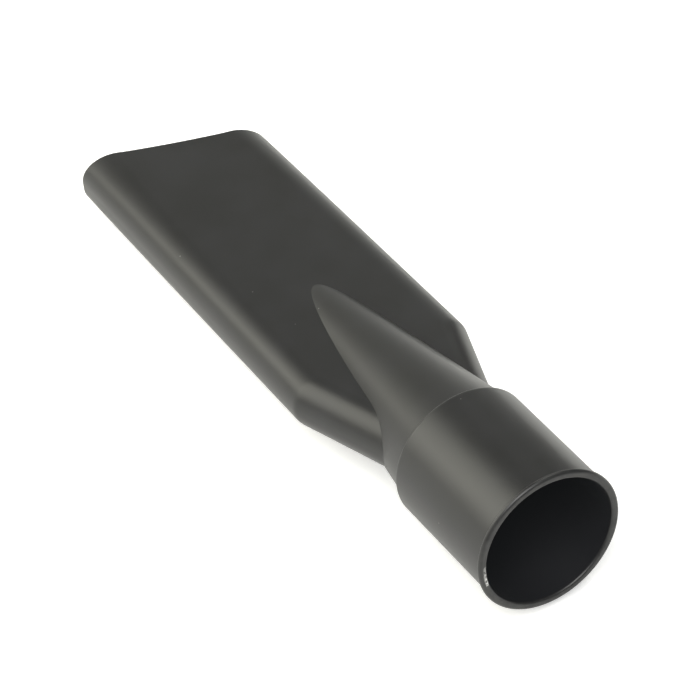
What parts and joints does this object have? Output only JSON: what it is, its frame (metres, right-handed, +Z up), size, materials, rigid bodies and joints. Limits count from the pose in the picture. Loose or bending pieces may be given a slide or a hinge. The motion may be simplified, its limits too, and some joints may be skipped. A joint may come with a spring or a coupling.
{
  "type": "vacuum crevice tool",
  "caption": "One-piece vacuum crevice tool: round lipped collar with a bore for the wand, tapering neck and wide flat hollow blade with round edges and an open tip cut at a slant.",
  "frame": {"origin": "middle of the bounding box's bottom, on the surface that the tool lies on", "axes": "+X along the tool towards the mouth of the socket, +Z up off the surface, +Y across the blade. The tool lies as it comes to rest, so its own axis rises 4.05 degrees towards the mouth and it is rolled 1.48 degrees"},
  "size_m": [0.2088, 0.0548, 0.0445],
  "materials": {
    "black_plastic": "satin, finely grained moulded polypropylene, black"
  },
  "bodies": {
    "root": {"crevice_tool": "black_plastic"}
  },
  "joints": []
}
